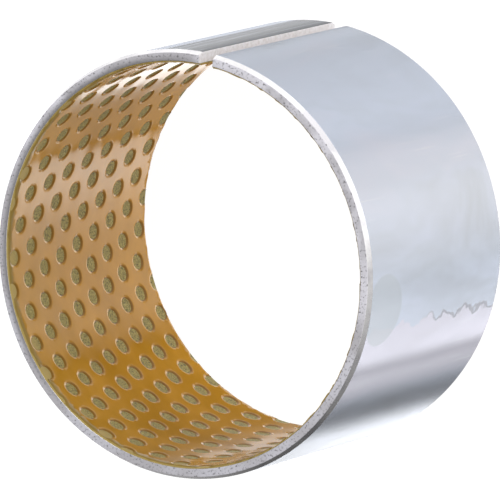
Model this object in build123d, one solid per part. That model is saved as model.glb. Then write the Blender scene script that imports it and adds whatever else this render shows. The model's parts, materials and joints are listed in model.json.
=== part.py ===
from build123d import *
from math import ceil, cos, degrees, pi, radians, sin, sqrt
import os

# A wrapped plain bushing: 75 mm bore, 80 mm outside diameter, 50 mm long. A flat strip of
# plated steel carries a thin layer of sintered bronze and, on that, an acetal running layer
# embossed with round grease pockets that reach down to the bronze. The strip is rolled into
# a ring, and its two ends stay a few millimetres apart until it is pressed into a housing.
#
# The ring stands on one end. The origin is the centre of the bore at the lower end face, and
# +Z runs along the bore. Sizes are in millimetres, and directions in degrees round from +X.

# ---- driving dimensions -------------------------------------------------------------------
bore_diameter = 75.0            # running diameter, on the acetal
bushing_length = 50.0           # from end face to end face of the steel

lining_thickness = 0.22         # acetal running layer
bronze_thickness = 0.18         # sintered bronze under it
steel_thickness = 2.10          # backing strip

outer_chamfer_length = 1.00     # lead-in chamfer outside, measured along the axis
outer_chamfer_depth = 0.56      # the same chamfer, measured across the wall
bore_chamfer_length = 0.70      # chamfer that takes the acetal and the bronze off down to
                                # the steel at both ends of the bore, measured along the axis

split_gap = 2.95                # open width of the butt joint, on the outside
split_direction = 77.8          # middle of the joint

pocket_diameter = 3.30          # grease pocket, halfway down its sloping wall
pocket_flats = 6                # flats that stand for each pocket's round wall
pocket_pitch = 6.23             # from centre to centre, within a row and between rows
pocket_row_slant = 13.3         # the rows lean this much from the bushing's axis
pocket_least_bite = 1.00        # a pocket that would bite into an edge by less is left out
first_pocket_height = 44.13     # the pocket that the pattern is counted from
first_pocket_direction = 160.2
pocket_overrun = 0.12           # how far a pocket's form runs past both faces of the acetal

# ---- worked out from them -----------------------------------------------------------------
bore_radius = bore_diameter / 2
bronze_inner_radius = bore_radius + lining_thickness
steel_inner_radius = bronze_inner_radius + bronze_thickness
outer_radius = steel_inner_radius + steel_thickness
bronze_end = bore_chamfer_length * bronze_thickness / (bronze_thickness + lining_thickness)

gap_angle = degrees(split_gap / outer_radius)
strip_start = split_direction + gap_angle / 2
strip_sweep = 360 - gap_angle


def rolled(outline):
    """Roll a strip whose section has this outline, from one butt end round to the other.
    The outline is a list of (radius, height) corners."""
    section = Plane.XZ * make_face(Polyline(outline, close=True))
    return revolve(section.rotate(Axis.Z, strip_start), Axis.Z, strip_sweep)


def steel_backing():
    """The backing strip, with a shallow lead-in chamfer round the outside of both ends."""
    chamfer_radius = outer_radius - outer_chamfer_depth
    return rolled([
        (steel_inner_radius, 0),
        (chamfer_radius, 0),
        (outer_radius, outer_chamfer_length),
        (outer_radius, bushing_length - outer_chamfer_length),
        (chamfer_radius, bushing_length),
        (steel_inner_radius, bushing_length),
    ])


def bronze_layer():
    """The sintered layer that keys the acetal to the steel, bevelled by the bore chamfer."""
    return rolled([
        (bronze_inner_radius, bronze_end),
        (steel_inner_radius, 0),
        (steel_inner_radius, bushing_length),
        (bronze_inner_radius, bushing_length - bronze_end),
    ])


def plain_lining():
    """The acetal layer before it is embossed, bevelled by the same chamfer."""
    return rolled([
        (bore_radius, bore_chamfer_length),
        (bronze_inner_radius, bronze_end),
        (bronze_inner_radius, bushing_length - bronze_end),
        (bore_radius, bushing_length - bore_chamfer_length),
    ])


def pocket_form():
    """One pocket as a plug along +Z, from just inside the bore out past the bronze face.
    Its outline has the round pocket's area. The sides are drawn as first-order curves, so
    that each flat still meets the rolled surface in one straight facet."""
    turn = 2 * pi / pocket_flats
    corner_radius = pocket_diameter / 2 * sqrt(turn / sin(turn))
    corners = [
        (corner_radius * cos(i * turn), corner_radius * sin(i * turn))
        for i in range(pocket_flats)
    ]
    sides = [Bezier(corners[i - 1], corners[i]) for i in range(pocket_flats)]
    plug = extrude(make_face(sides), lining_thickness + 2 * pocket_overrun)
    return Pos(0, 0, bore_radius - pocket_overrun) * plug


def pocket_places():
    """Heights and directions of the pockets: a lattice of equal triangles, laid out on the
    flat strip from the first pocket, and cut off by the strip's four edges."""
    slant = radians(pocket_row_slant)
    next_slant = slant + pi / 3
    reach = pocket_diameter / 2 - pocket_least_bite
    strip_length = radians(strip_sweep) * bore_radius
    first_along = radians((first_pocket_direction - strip_start) % 360) * bore_radius
    steps = ceil(2 * (strip_length + bushing_length) / pocket_pitch)

    places = []
    for i in range(-steps, steps + 1):
        for j in range(-steps, steps + 1):
            height = first_pocket_height + pocket_pitch * (i * cos(slant) + j * cos(next_slant))
            along = first_along + pocket_pitch * (i * sin(slant) + j * sin(next_slant))
            if not -reach < height < bushing_length + reach:
                continue
            if not -reach < along < strip_length + reach:
                continue
            places.append((height, strip_start + degrees(along / bore_radius)))
    return places


def acetal_lining():
    """The running layer, with every pocket cut through it down to the bronze."""
    form = pocket_form()
    pockets = []
    for height, direction in pocket_places():
        outwards = (cos(radians(direction)), sin(radians(direction)), 0)
        place = Plane(origin=(0, 0, height), x_dir=(0, 0, 1), z_dir=outwards)
        pockets.append(place.location * form)
    return plain_lining() - pockets


os.makedirs("parts", exist_ok=True)
for name, piece in {
    "steel_backing": steel_backing(),
    "sintered_bronze_layer": bronze_layer(),
    "acetal_lining": acetal_lining(),
}.items():
    export_step(piece, f"parts/{name}.step")
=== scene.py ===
import json
from math import ceil, cos, pi, radians, sin, sqrt

import bmesh
import bpy
from mathutils import Matrix, Vector


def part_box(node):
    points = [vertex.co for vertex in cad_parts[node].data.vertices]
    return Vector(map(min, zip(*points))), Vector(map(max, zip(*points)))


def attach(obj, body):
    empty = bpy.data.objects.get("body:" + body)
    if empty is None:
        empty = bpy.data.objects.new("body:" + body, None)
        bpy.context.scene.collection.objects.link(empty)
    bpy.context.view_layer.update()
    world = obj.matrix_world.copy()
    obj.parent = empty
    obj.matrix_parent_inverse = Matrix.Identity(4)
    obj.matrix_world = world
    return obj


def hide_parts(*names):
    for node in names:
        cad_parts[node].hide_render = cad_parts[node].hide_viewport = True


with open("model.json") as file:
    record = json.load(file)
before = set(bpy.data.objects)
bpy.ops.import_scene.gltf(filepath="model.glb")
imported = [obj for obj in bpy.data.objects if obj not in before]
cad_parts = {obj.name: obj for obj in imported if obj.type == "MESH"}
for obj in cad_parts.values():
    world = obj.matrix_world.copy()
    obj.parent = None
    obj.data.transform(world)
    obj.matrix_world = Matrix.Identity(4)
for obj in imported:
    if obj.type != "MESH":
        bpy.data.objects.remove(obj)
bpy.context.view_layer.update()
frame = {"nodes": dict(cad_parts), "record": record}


# ---- Steel backing ------------------------------------------------------------------------
# A flat strip of mild steel, plated a cool silver, with a lead-in chamfer coined along both
# long edges. It is sheared to length and rolled into a ring, and the two cut ends stay a few
# millimetres apart until the bushing is pressed into its housing.
mm = 0.001
mounts = {mount["name"]: mount for mount in frame["record"]["mounts"]}
bore_radius = mounts["shaft_bore"]["dims"]["r_mm"] * mm
outer_radius = mounts["housing_seat"]["dims"]["r_mm"] * mm
lower_face, upper_face = (corner.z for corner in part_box("steel_backing"))

lining_thickness = 0.22 * mm
bronze_thickness = 0.18 * mm
steel_inner_depth = lining_thickness + bronze_thickness
steel_outer_depth = outer_radius - bore_radius
chamfer_length = 1.00 * mm
chamfer_depth = 0.56 * mm
rolled_edge_radius = 0.12 * mm
sheared_edge_radius = 0.08 * mm

split_gap = 2.95 * mm
split_direction = radians(77.8)
gap_angle = split_gap / outer_radius
strip_start = split_direction + gap_angle / 2
strip_length = (2 * pi - gap_angle) * bore_radius
steel_steps = 480
crease_angle = radians(50)


def roll(flat, name):
    """Bend a flat strip into the ring and make it an object. X runs along the strip at the
    bore, Y out through the wall and Z up. The map named strip keeps the flat places."""
    bmesh.ops.recalc_face_normals(flat, faces=flat.faces)
    strip_map = flat.loops.layers.uv.new("strip")
    for face in flat.faces:
        for corner in face.loops:
            corner[strip_map].uv = (corner.vert.co.x, corner.vert.co.z)
        face.smooth = True
    for edge in flat.edges:
        edge.smooth = edge.is_manifold and edge.calc_face_angle() < crease_angle
    for vertex in flat.verts:
        along, depth, height = vertex.co
        direction = strip_start + along / bore_radius
        radius = bore_radius + depth
        vertex.co = (radius * cos(direction), radius * sin(direction), height)
    flat.normal_update()
    bmesh.ops.recalc_face_normals(flat, faces=flat.faces)
    mesh = bpy.data.meshes.new(name)
    flat.to_mesh(mesh)
    flat.free()
    piece = bpy.data.objects.new(name, mesh)
    bpy.context.scene.collection.objects.link(piece)
    weighting = piece.modifiers.new("flat faces stay flat", "WEIGHTED_NORMAL")
    weighting.weight = 100
    weighting.keep_sharp = True
    return piece


strip = bmesh.new()
section = [
    (steel_inner_depth, lower_face),
    (steel_outer_depth - chamfer_depth, lower_face),
    (steel_outer_depth, lower_face + chamfer_length),
    (steel_outer_depth, upper_face - chamfer_length),
    (steel_outer_depth - chamfer_depth, upper_face),
    (steel_inner_depth, upper_face),
]
strip.faces.new([strip.verts.new((0, depth, height)) for depth, height in section])
bmesh.ops.bevel(
    strip, geom=strip.verts[:], offset=rolled_edge_radius, segments=3,
    profile=0.5, affect="VERTICES", material=-1,
)
bmesh.ops.spin(
    strip, geom=strip.verts[:] + strip.edges[:] + strip.faces[:], angle=0,
    axis=(0, 0, 1), dvec=(strip_length / steel_steps, 0, 0), steps=steel_steps,
)
cut_ends = [face for face in strip.faces if len(face.verts) > 4]
bmesh.ops.bevel(
    strip, geom=[edge for face in cut_ends for edge in face.edges],
    offset=sheared_edge_radius, segments=2, profile=0.5, affect="EDGES", material=-1,
)
bmesh.ops.recalc_face_normals(strip, faces=strip.faces)

# How far a face's normal has to point along the strip or up or down to be each kind of face.
cut_end_tilt = 0.7
end_face_tilt = 0.8
chamfer_tilt = 0.25
wall, chamfer, end_face, cut_end = range(4)
for face in strip.faces:
    tilt = abs(face.normal.z)
    if abs(face.normal.x) > cut_end_tilt:
        face.material_index = cut_end
    elif tilt > end_face_tilt:
        face.material_index = end_face
    elif tilt > chamfer_tilt:
        face.material_index = chamfer
    else:
        face.material_index = wall
backing = roll(strip, "rolled_steel_backing")


def grey(value):
    return (value, value, value)


def adder(tree):
    """A way to add a node to this tree by its type. Each of its sockets gets a value or the
    socket that feeds it, and the settings are the node's own."""
    def add(kind, sockets=None, **settings):
        node = tree.nodes.new(kind)
        for setting, value in settings.items():
            setattr(node, setting, value)
        for socket, value in (sockets or {}).items():
            if isinstance(value, bpy.types.NodeSocket):
                tree.links.new(value, node.inputs[socket])
            else:
                node.inputs[socket].default_value = value
        return node

    return add


def finish(name, **fixed):
    """A new material, a way to add nodes to it and a way to feed its shader. The fixed values
    go on the shader's own sockets, whose names have _ here for a space."""
    material = bpy.data.materials.new(name)
    material.use_nodes = True
    tree = material.node_tree
    shader = tree.nodes["Principled BSDF"]
    for socket, value in fixed.items():
        shader.inputs[socket.replace("_", " ")].default_value = value

    def feed(socket, source):
        tree.links.new(source, shader.inputs[socket])

    return material, adder(tree), feed


def noise(add, place, scale, detail, roughness, distortion=0):
    """Cloudy values from 0 to 1, about scale patches to the metre."""
    return add("ShaderNodeTexNoise", {
        "Vector": place, "Scale": scale, "Detail": detail, "Roughness": roughness,
        "Distortion": distortion,
    }).outputs["Fac"]


def drawn_out(add, place, turn, along, across):
    """Flat places turned, then scaled unevenly, so that noise on them comes out in streaks."""
    return add("ShaderNodeMapping", {
        "Vector": place, "Rotation": (0, 0, turn), "Scale": (along, across, 1),
    }).outputs["Vector"]


def both(add, first, second):
    """Where both shares hold: one times the other."""
    return add("ShaderNodeMath", {0: first, 1: second}, operation="MULTIPLY").outputs[0]


def shift(add, value, cloud, amount):
    """A value moved on by up to this amount, by a cloud of noise."""
    return add(
        "ShaderNodeMath", {0: cloud, 1: amount, 2: value}, operation="MULTIPLY_ADD",
    ).outputs[0]


def towards(add, place, direction):
    """How far a place lies in a direction."""
    return add(
        "ShaderNodeVectorMath", {0: place, 1: direction}, operation="DOT_PRODUCT",
    ).outputs["Value"]


def depth_of(add, place):
    """How far a place lies outside the bore, in metres."""
    flat = add(
        "ShaderNodeVectorMath", {0: place, 1: (1, 1, 0)}, operation="MULTIPLY",
    ).outputs[0]
    reach = add("ShaderNodeVectorMath", {0: flat}, operation="LENGTH").outputs["Value"]
    return add("ShaderNodeMath", {0: reach, 1: bore_radius}, operation="SUBTRACT").outputs[0]


def span(add, value, low, high):
    """0 below low and 1 above high, or the other way round where low is the larger."""
    return add("ShaderNodeMapRange", {
        "Value": value, "From Min": low, "From Max": high,
    }, interpolation_type="SMOOTHSTEP").outputs["Result"]


def ramp(add, factor, stops):
    """A colour ramp fed by factor, with (place, colour) stops."""
    node = add("ShaderNodeValToRGB", {"Fac": factor})
    marks = node.color_ramp.elements
    while len(marks) < len(stops):
        marks.new(1)
    for mark, (place, colour) in zip(marks, stops):
        mark.position = place
        mark.color = (*colour, 1)
    return node.outputs["Color"]


def blend(add, share, first, second):
    """Two colours blended by share. Each is a socket or three numbers."""
    first, second = (
        colour if isinstance(colour, bpy.types.NodeSocket) else (*colour, 1)
        for colour in (first, second)
    )
    share_socket, first_socket, second_socket, blended = 0, 6, 7, 2
    return add("ShaderNodeMix", {
        share_socket: share, first_socket: first, second_socket: second,
    }, data_type="RGBA").outputs[blended]


def relief(add, feed, cloud, strength, distance):
    """Fine bumps, as high as distance where the cloud is 1."""
    bump = add("ShaderNodeBump", {"Height": cloud, "Strength": strength, "Distance": distance})
    feed("Normal", bump.outputs["Normal"])


def plated_wall():
    """Cloudy plating over steel that was brushed round the ring, with what the press oil and
    the rinse left on it. Places along the strip count from the joint."""
    quarter_turn = 0.25
    material, add, feed = finish(
        "plated steel wall", Metallic=1, Anisotropic=0.9, Anisotropic_Rotation=quarter_turn,
    )
    around = add("ShaderNodeTangent", direction_type="RADIAL", axis="Z")
    feed("Tangent", around.outputs["Tangent"])
    place = add("ShaderNodeUVMap", uv_map="strip").outputs["UV"]
    flat_place = add("ShaderNodeSeparateXYZ", {"Vector": place})
    along, height = flat_place.outputs["X"], flat_place.outputs["Y"]

    drift = drawn_out(add, place, turn=radians(35), along=60, across=22)
    clouds = noise(add, drift, scale=1.0, detail=6, roughness=0.6, distortion=0.6)
    plate = ramp(add, clouds, [
        (0.30, (0.52, 0.56, 0.63)), (0.50, (0.60, 0.65, 0.76)), (0.70, (0.67, 0.70, 0.81)),
    ])

    # The strip beside the joint, dulled and streaked by the press tool.
    dull_edge, dull_limit = 6.5 * mm, 8.5 * mm
    brushed = drawn_out(add, place, turn=0, along=900, across=14)
    streaks = noise(add, brushed, scale=1.0, detail=3, roughness=0.6)
    dulled = both(add, span(add, along, dull_limit, dull_edge), span(add, streaks, 0.80, 0.50))
    tool_grey = (0.13, 0.14, 0.16)
    plate = blend(add, dulled, plate, tool_grey)

    # A rinsed area, which fades in and ends at a scalloped tide mark.
    rinse_start, rinse_full, tide_line = 155 * mm, 161 * mm, 174 * mm
    scallops = noise(add, place, scale=210.0, detail=2, roughness=0.5)
    tide = shift(add, along, scallops, 6 * mm)
    rinsed = both(
        add, span(add, tide, tide_line + 0.2 * mm, tide_line - 0.3 * mm),
        span(add, along, rinse_start, rinse_full),
    )
    rinse_share, rinse_colour = 0.6, (0.70, 0.665, 0.745)
    plate = blend(add, both(add, rinsed, rinse_share), plate, rinse_colour)
    tide_mark = both(
        add, span(add, tide, tide_line - 0.4 * mm, tide_line - 0.1 * mm),
        span(add, tide, tide_line + 0.4 * mm, tide_line + 0.1 * mm),
    )
    mark_top, mark_full, mark_grey = 30 * mm, 20 * mm, (0.42, 0.43, 0.48)
    tide_mark = both(add, tide_mark, span(add, height, mark_top, mark_full))
    plate = blend(add, tide_mark, plate, mark_grey)

    # One drop that dried near the upper end.
    drop_place, drop_radius, drop_inside = (174.6 * mm, 44 * mm, 0), 6.7 * mm, 6.1 * mm
    from_drop = add(
        "ShaderNodeVectorMath", {0: place, 1: drop_place}, operation="DISTANCE",
    ).outputs["Value"]
    drop_share, drop_colour = 0.65, (0.52, 0.56, 0.60)
    dried_drop = both(add, span(add, from_drop, drop_radius, drop_inside), drop_share)
    plate = blend(add, dried_drop, plate, drop_colour)

    # Slanting scratches, in some of the clouds only.
    slanted = drawn_out(add, place, turn=radians(-52), along=3000, across=50)
    scored = noise(add, slanted, scale=1.0, detail=2, roughness=0.5)
    scratches = both(add, span(add, scored, 0.60, 0.72), span(add, clouds, 0.45, 0.62))
    scratch_silver = (0.74, 0.76, 0.82)
    feed("Base Color", blend(add, scratches, plate, scratch_silver))
    feed("Roughness", ramp(add, clouds, [(0.3, grey(0.22)), (0.7, grey(0.19))]))
    texture = noise(add, drift, scale=25.0, detail=4, roughness=0.6)
    relief(add, feed, texture, strength=0.1, distance=0.01 * mm)
    return material


def coined_chamfer():
    """Plating pressed bright by the coining tool, worn dull in patches."""
    material, add, feed = finish("coined chamfer", Metallic=1)
    place = add("ShaderNodeTexCoord").outputs["Object"]
    marks = noise(add, place, scale=700.0, detail=4, roughness=0.6)
    patches = noise(add, place, scale=70.0, detail=4, roughness=0.65)
    bright = ramp(add, marks, [(0.3, (0.62, 0.61, 0.62)), (0.7, (0.74, 0.73, 0.73))])
    worn, worn_grey = span(add, patches, 0.56, 0.40), (0.52, 0.51, 0.53)
    feed("Base Color", blend(add, worn, bright, worn_grey))
    feed("Roughness", ramp(add, marks, [(0.3, grey(0.30)), (0.7, grey(0.22))]))
    relief(add, feed, marks, strength=0.2, distance=0.03 * mm)
    return material


def turned_end():
    """Grey, grainy end face, paler on one side of the ring and darker beside the bore on the
    other."""
    material, add, feed = finish("turned end face", Metallic=0.6)
    place = add("ShaderNodeTexCoord").outputs["Object"]
    grain = noise(add, place, scale=2000.0, detail=3, roughness=0.7)
    patches = noise(add, place, scale=60.0, detail=3, roughness=0.6)
    dark_metal, pale_metal = (0.41, 0.405, 0.44), (0.52, 0.51, 0.55)
    stained, pitted, by_bore_dark = (0.34, 0.33, 0.35), (0.10, 0.095, 0.10), (0.15, 0.145, 0.15)
    paler_side, darker_side = (0.5, 1, 0), (-1, 0.6, 0)
    paler = span(add, towards(add, place, paler_side), -14 * mm, 22 * mm)
    metal = blend(add, paler, dark_metal, pale_metal)
    metal = blend(add, span(add, patches, 0.58, 0.42), metal, stained)
    metal = blend(add, span(add, grain, 0.46, 0.34), metal, pitted)
    # Darker towards the bore on one side of the ring.
    darker_by_bore = both(
        add, span(add, depth_of(add, place), 1.7 * mm, 0.4 * mm),
        span(add, towards(add, place, darker_side), 5 * mm, 32 * mm),
    )
    feed("Base Color", blend(add, darker_by_bore, metal, by_bore_dark))
    feed("Roughness", ramp(add, grain, [(0.3, grey(0.6)), (0.7, grey(0.4))]))
    relief(add, feed, grain, strength=0.5, distance=0.06 * mm)
    return material


def sheared_end():
    """Bare, torn steel at the joint."""
    material, add, feed = finish("sheared cut end", Metallic=0.3)
    place = add("ShaderNodeTexCoord").outputs["Object"]
    grain = noise(add, place, scale=1500.0, detail=3, roughness=0.7)
    torn = ramp(add, grain, [(0.3, (0.60, 0.58, 0.58)), (0.6, (0.76, 0.75, 0.78))])
    feed("Base Color", torn)
    feed("Roughness", ramp(add, grain, [(0.3, grey(0.5)), (0.7, grey(0.4))]))
    return material


# In the order of wall, chamfer, end_face and cut_end.
for steel_finish in (plated_wall, coined_chamfer, turned_end, sheared_end):
    backing.data.materials.append(steel_finish())
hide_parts("steel_backing")
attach(backing, "root")


# ---- Sintered bronze ----------------------------------------------------------------------
# Bronze powder sintered onto the steel in one thin porous layer, dulled to olive by the hot
# rolling of the lining. It shows as the grainy floor of every pocket and as a fine line
# between the steel and the lining.
def height_of(add, place):
    return add("ShaderNodeSeparateXYZ", {"Vector": place}).outputs["Z"]


def sintered_grain():
    """Grains of powder with dark pores between them, paler and even in colour near the upper end."""
    material, add, feed = finish(
        "sintered bronze", Metallic=0.1, Specular_IOR_Level=0.35, Roughness=0.48,
    )
    place = add("ShaderNodeTexCoord").outputs["Object"]
    grain = noise(add, place, scale=3000.0, detail=3, roughness=0.65)
    powder = ramp(add, grain, [
        (0.34, (0.05, 0.040, 0.010)), (0.46, (0.21, 0.175, 0.045)),
        (0.60, (0.32, 0.275, 0.080)), (0.74, (0.55, 0.49, 0.20)),
    ])
    # Paler and even in colour towards the upper end.
    pale_lower, pale_upper = upper_face - 4.5 * mm, upper_face - 1.2 * mm
    paler_near_end = span(add, height_of(add, place), pale_lower, pale_upper)
    pale_bronze = (0.36, 0.275, 0.085)
    feed("Base Color", blend(add, paler_near_end, powder, pale_bronze))
    relief(add, feed, grain, strength=0.5, distance=0.05 * mm)
    return material


bronze = frame["nodes"]["sintered_bronze_layer"]
for bronze_slot in bronze.material_slots:
    bronze_slot.link = "OBJECT"
    bronze_slot.material = sintered_grain()


# ---- Acetal lining ------------------------------------------------------------------------
# Amber acetal rolled hot onto the bronze and embossed with round grease pockets, which reach
# down to it. Each pocket has a softly rounded mouth and a sloping wall. The pockets lie on a
# lattice of equal triangles, and the strip's four edges cut off the ones that they cross.
lining_lower, lining_upper = (corner.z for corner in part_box("acetal_lining"))
pocket_pitch = 6.23 * mm
pocket_row_slant = radians(13.3)
pocket_mouth_radius = 1.80 * mm
pocket_floor_radius = 1.38 * mm
pocket_lip_radius = 0.28 * mm
pocket_reach = 0.65 * mm
first_pocket_height = 44.13 * mm
first_pocket_along = (radians(160.2) - strip_start) * bore_radius
bore_chamfer_length = 0.70 * mm

across_corners = pocket_pitch / sqrt(3)
stand_up = (
    Matrix.Rotation(pocket_row_slant + radians(30), 4, "Y")
    @ Matrix.Rotation(radians(90), 4, "X")
)
loose_weld = 0.002 * mm
close_weld = 0.001 * mm
cut_reach = 0.0001 * mm


def only(kind, geometry):
    return [item for item in geometry if isinstance(item, kind)]


def hexagon(tile, depth):
    """The outline that one pocket shares with its six neighbours, as a loop of edges."""
    matrix = Matrix.Translation((0, depth, 0)) @ stand_up
    loop = bmesh.ops.create_circle(tile, segments=6, radius=across_corners, matrix=matrix)
    edges = list(dict.fromkeys(edge for vertex in loop["verts"] for edge in vertex.link_edges))
    cut = bmesh.ops.subdivide_edges(tile, edges=edges, cuts=2)
    return only(bmesh.types.BMEdge, cut["geom"])


def step_in(tile, edges, radius, depth):
    """A new ring of faces from these edges to a circle of this radius at this depth."""
    grown = bmesh.ops.extrude_edge_only(tile, edges=edges)["geom"]
    inner = set(only(bmesh.types.BMVert, grown))
    for vertex in inner:
        outwards = Vector((vertex.co.x, 0, vertex.co.z)).normalized()
        vertex.co = outwards * radius + Vector((0, depth, 0))
    return [edge for edge in only(bmesh.types.BMEdge, grown) if inner.issuperset(edge.verts)]


def as_mesh(tile, name):
    mesh = bpy.data.meshes.new(name)
    tile.to_mesh(mesh)
    tile.free()
    return mesh


def pocket_tile():
    """A hexagon of the lining with one pocket through it."""
    tile = bmesh.new()
    mouth = step_in(tile, hexagon(tile, 0), pocket_mouth_radius, 0)
    floor = step_in(tile, mouth, pocket_floor_radius, lining_thickness)
    back = hexagon(tile, lining_thickness)
    bmesh.ops.bridge_loops(tile, edges=floor + back)
    bmesh.ops.bevel(
        tile, geom=mouth, offset=pocket_lip_radius, segments=3,
        profile=0.5, affect="EDGES", material=-1,
    )
    return as_mesh(tile, "pocket tile")


def plain_tile():
    """A hexagon of the lining where the strip is too narrow for a pocket."""
    tile = bmesh.new()
    for depth in (0, lining_thickness):
        ring = hexagon(tile, depth)
        for share in (2 / 3, 1 / 3, 0):
            ring = step_in(tile, ring, share * pocket_pitch / 2, depth)
    bmesh.ops.remove_doubles(tile, verts=tile.verts, dist=close_weld)
    return as_mesh(tile, "plain tile")


def within(along, height, margin):
    """Whether a place is on the strip, or off it by less than the margin."""
    return (
        -margin < height < upper_face + margin
        and -margin < along < strip_length + margin
    )


sheet = bmesh.new()
with_pocket = pocket_tile()
without_pocket = plain_tile()
next_slant = pocket_row_slant + pi / 3
rows = ceil(2 * (strip_length + upper_face) / pocket_pitch)
for i in range(-rows, rows + 1):
    for j in range(-rows, rows + 1):
        height = first_pocket_height + pocket_pitch * (
            i * cos(pocket_row_slant) + j * cos(next_slant))
        along = first_pocket_along + pocket_pitch * (
            i * sin(pocket_row_slant) + j * sin(next_slant))
        if not within(along, height, across_corners):
            continue
        tile = with_pocket if within(along, height, pocket_reach) else without_pocket
        tile.transform(Matrix.Translation((along, 0, height)))
        sheet.from_mesh(tile)
        tile.transform(Matrix.Translation((-along, 0, -height)))
bmesh.ops.remove_doubles(sheet, verts=sheet.verts, dist=loose_weld)

# The ragged border of the tiles is closed from the running face to the back.
ragged = [
    edge for edge in sheet.edges
    if edge.is_boundary and all(vertex.co.y < lining_thickness / 2 for vertex in edge.verts)
]
side = bmesh.ops.extrude_edge_only(sheet, edges=ragged)["geom"]
bmesh.ops.translate(
    sheet, vec=(0, lining_thickness, 0), verts=only(bmesh.types.BMVert, side),
)
bmesh.ops.remove_doubles(sheet, verts=sheet.verts, dist=loose_weld)

# The strip is trimmed to a bevel at both ends of the bore and square at the joint, and each
# cut is closed.
trims = [
    ((0, lining_thickness, lining_lower), (0, -bore_chamfer_length, -steel_inner_depth)),
    ((0, lining_thickness, lining_upper), (0, -bore_chamfer_length, steel_inner_depth)),
    ((0, 0, 0), (-1, 0, 0)),
    ((strip_length, 0, 0), (1, 0, 0)),
]
for place, outwards in trims:
    bmesh.ops.bisect_plane(
        sheet, geom=sheet.verts[:] + sheet.edges[:] + sheet.faces[:], dist=cut_reach,
        plane_co=place, plane_no=outwards, clear_outer=True,
    )
    bmesh.ops.remove_doubles(sheet, verts=sheet.verts, dist=close_weld)
    stray = [edge for edge in sheet.edges if edge.is_wire]
    bmesh.ops.delete(sheet, geom=stray, context="EDGES")
    rim = [edge for edge in sheet.edges if edge.is_boundary]
    filled = bmesh.ops.triangle_fill(
        sheet, edges=rim, normal=outwards, use_beauty=True,
    )["geom"]
    bmesh.ops.beautify_fill(
        sheet, faces=only(bmesh.types.BMFace, filled), edges=only(bmesh.types.BMEdge, filled),
        method="ANGLE",
    )
lining = roll(sheet, "embossed_acetal_lining")


def amber_acetal():
    """Glossy amber film, with painted shade (browner and less glossy) where it leans over a
    pocket's lip, browner where it thins down to the bronze and in the frayed fringe at the upper end."""
    material, add, feed = finish("amber acetal", IOR=1.48)
    place = add("ShaderNodeUVMap", uv_map="strip").outputs["UV"]
    solid_place = add("ShaderNodeTexCoord").outputs["Object"]
    mottle = noise(add, place, scale=90.0, detail=5, roughness=0.6)
    film = ramp(add, mottle, [(0.3, (0.38, 0.195, 0.010)), (0.7, (0.49, 0.255, 0.019))])
    painted_shade_brown, thin_brown, fringe_brown = (0.20, 0.105, 0.02), (0.22, 0.125, 0.03), (0.25, 0.175, 0.05)

    # Painted shade: faces that lean upwards are made browner and reflect less, standing in for the
    # shadowed slope on one side of each pocket.
    normal = add("ShaderNodeNewGeometry").outputs["Normal"]
    painted_shade = span(add, height_of(add, normal), -0.02, 0.30)
    film = blend(add, painted_shade, film, painted_shade_brown)
    thinned = span(add, depth_of(add, solid_place), 0.07 * mm, 0.19 * mm)
    film = blend(add, thinned, film, thin_brown)

    fringe_lower, fringe_upper = upper_face - 1.0 * mm, upper_face + 0.1 * mm
    fray = noise(add, place, scale=900.0, detail=4, roughness=0.7)
    frayed_height = shift(add, height_of(add, solid_place), fray, 1.6 * mm)
    fringe = span(add, frayed_height, fringe_lower, fringe_upper)
    feed("Base Color", blend(add, fringe, film, fringe_brown))
    feed("Roughness", ramp(add, mottle, [(0.35, grey(0.07)), (0.65, grey(0.10))]))
    feed("Specular IOR Level", ramp(add, painted_shade, [(0.1, grey(0.5)), (0.6, grey(0.12))]))
    ripple = noise(add, place, scale=500.0, detail=3, roughness=0.5)
    relief(add, feed, ripple, strength=0.08, distance=0.03 * mm)
    return material


lining.data.materials.append(amber_acetal())
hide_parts("acetal_lining")
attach(lining, "root")


# ---- Studio -------------------------------------------------------------------------------
# A white table in an open, evenly bright room, with a soft lamp over the joint and a weaker
# one beside the camera. The polished faces see no table: they see the room go on below it,
# where its walls are bright and dark by turns.
table_radius = 2.0


def white_table():
    """Paint with a glow. The camera sees it white with a soft shadow, and the bushing gets
    an even light from below."""
    material = bpy.data.materials.new("white table")
    material.use_nodes = True
    tree = material.node_tree
    tree.nodes.clear()
    add = adder(tree)

    def glowing(colour, glow):
        paint = add("ShaderNodeBsdfDiffuse", {"Color": (*colour, 1)})
        light = add("ShaderNodeEmission", {"Strength": glow})
        return add("ShaderNodeAddShader", {0: paint.outputs[0], 1: light.outputs[0]}).outputs[0]

    sight = add("ShaderNodeLightPath")
    surface = add("ShaderNodeMixShader", {
        0: sight.outputs["Is Camera Ray"],
        1: glowing(grey(0.8), 0.9),
        2: glowing(grey(0.16), 0.94),
    })
    add("ShaderNodeOutputMaterial", {"Surface": surface.outputs[0]})
    return material


table_top = bmesh.new()
bmesh.ops.create_circle(table_top, cap_ends=True, segments=64, radius=table_radius)
table_mesh = bpy.data.meshes.new("table")
table_top.to_mesh(table_mesh)
table_top.free()
table = bpy.data.objects.new("table", table_mesh)
bpy.context.scene.collection.objects.link(table)
table.data.materials.append(white_table())
table.visible_glossy = False


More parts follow.
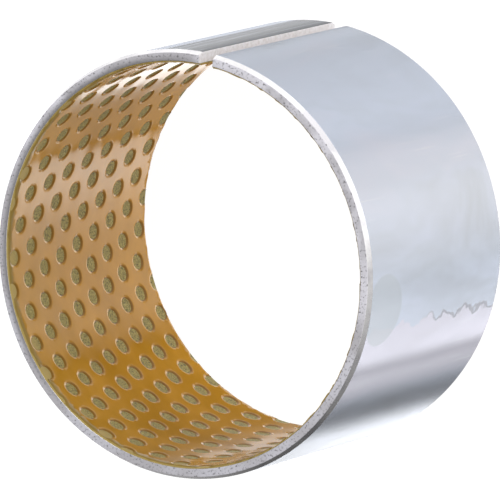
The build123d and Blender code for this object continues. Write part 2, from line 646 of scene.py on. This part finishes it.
def room():
    """The world. It is an even white, except that polished faces see its walls, floor and
    ceiling. Its walls change with the compass direction, which counts from +X."""
    world = bpy.data.worlds.new("room")
    world.use_nodes = True
    tree = world.node_tree
    tree.nodes.clear()
    add = adder(tree)
    look = add("ShaderNodeTexCoord").outputs["Generated"]
    compass = add(
        "ShaderNodeTexGradient", {"Vector": look}, gradient_type="RADIAL",
    ).outputs["Fac"]

    def all_round(brightness):
        """A wall whose brightness is given at some directions, in degrees."""
        return ramp(add, compass, [
            ((degrees + 180) / 360, grey(value)) for degrees, value in brightness
        ])

    seen_by_lining = all_round([
        (-180, 0.200), (-164, 0.455), (-152, 0.618), (-140, 0.932), (-131, 0.767),
        (-123, 0.767), (-120, 0.333), (-104, 0.152), (-80, 0.170), (-74, 0.017),
        (-70, 0.629), (-56, 0.900), (-44, 0.854), (-32, 0.601), (-20, 0.501),
        (-8, 0.411), (28, 0.435), (40, 0.259), (52, 0.017), (64, 0.017),
        (100, 0.017), (130, 0.037), (148, 0.142), (154, 0.300), (180, 0.200),
    ])
    seen_by_wall = all_round([
        (-180, 0.900), (-164, 0.900), (-140, 0.400), (-130, 0.017), (-126, 0.017),
        (-104, 0.017), (-92, 0.017), (-80, 0.400), (-74, 0.733), (-68, 0.333),
        (-56, 0.100), (-32, 0.251), (-20, 0.287), (-8, 0.236), (28, 0.085),
        (40, 0.211), (60, 0.377), (90, 0.349), (115, 0.399), (136, 0.223),
        (148, 0.967), (154, 0.017), (157, 0.017), (166, 0.017), (172, 0.634),
        (180, 0.800),
    ])
    seen_by_chamfers = all_round([
        (-180, 0.580), (-165, 0.430), (-155, 0.220), (-142, 0.120), (-127, 0.150),
        (-110, 0.060), (-91, 0.045), (-72, 0.070), (-51, 0.120), (-27, 0.235),
        (-5, 0.340), (16, 0.720), (37, 0.520), (60, 0.660), (83, 0.500),
        (104, 0.470), (123, 0.660), (140, 0.460), (157, 0.540), (180, 0.580),
    ])

    # The smooth lining mirrors one narrow band of the wall, low down. The brushed steel
    # mirrors the wall above and below it, and the chamfers what is higher.
    band_rise, band_half_height, band_fade = -0.8536, 0.016, 0.028
    rise = height_of(add, look)
    from_band = add("ShaderNodeMath", {
        0: add("ShaderNodeMath", {0: rise, 1: -band_rise}, operation="ADD").outputs[0],
    }, operation="ABSOLUTE").outputs[0]
    off_band = span(add, from_band, band_half_height, band_fade)
    seen = blend(add, off_band, seen_by_lining, seen_by_wall)
    seen = blend(add, span(add, rise, -0.72, -0.64), seen, seen_by_chamfers)

    # A warm patch of floor makes the bright crescents on the pockets' lips, and the ceiling
    # is grey.
    patch_direction, patch_edge, patch_full = (0.179, 0.065, -0.982), 0.962, 0.988
    near_patch = span(add, towards(add, look, patch_direction), patch_edge, patch_full)
    seen = blend(add, near_patch, seen, (0.86, 0.78, 0.68))
    seen = blend(add, span(add, rise, 0.3, 0.6), seen, grey(0.44))

    even_strength, mirrored_strength = 1.0, 3.0
    sight = add("ShaderNodeLightPath")
    even = add("ShaderNodeBackground", {"Color": (*grey(1), 1), "Strength": even_strength})
    mirrored = add("ShaderNodeBackground", {"Color": seen, "Strength": mirrored_strength})
    whole = add("ShaderNodeMixShader", {
        0: sight.outputs["Is Glossy Ray"], 1: even.outputs[0], 2: mirrored.outputs[0],
    })
    add("ShaderNodeOutputWorld", {"Surface": whole.outputs[0]})
    world.cycles.sampling_method = "NONE"
    return world


bpy.context.scene.world = room()

lit_point = Vector((0, 0, 30 * mm))
for lamp_name, lamp_place, lamp_power in (
    ("lamp over the joint", (0.15, 0.75, 1.0), 4.0),
    ("lamp beside the camera", (0.75, -0.27, 1.0), 1.5),
):
    lamp_data = bpy.data.lights.new(lamp_name, "AREA")
    lamp_data.shape = "DISK"
    lamp_data.size = 0.8
    lamp_data.energy = lamp_power
    lamp = bpy.data.objects.new(lamp_name, lamp_data)
    lamp.location = lamp_place
    aim = lit_point - lamp.location
    lamp.rotation_euler = aim.to_track_quat("-Z", "Y").to_euler()
    bpy.context.scene.collection.objects.link(lamp)

camera_data = bpy.data.cameras.new("camera")
camera_data.lens = 754.07
camera_data.sensor_width = 36
camera = bpy.data.objects.new("camera", camera_data)
camera.location = Vector((993.742, 219.012, 1689.341)) * mm
camera.rotation_euler = (radians(-8.7128), radians(30.3341), radians(-4.4258))
bpy.context.scene.collection.objects.link(camera)
bpy.context.scene.camera = camera
bpy.context.scene.view_settings.view_transform = "Standard"
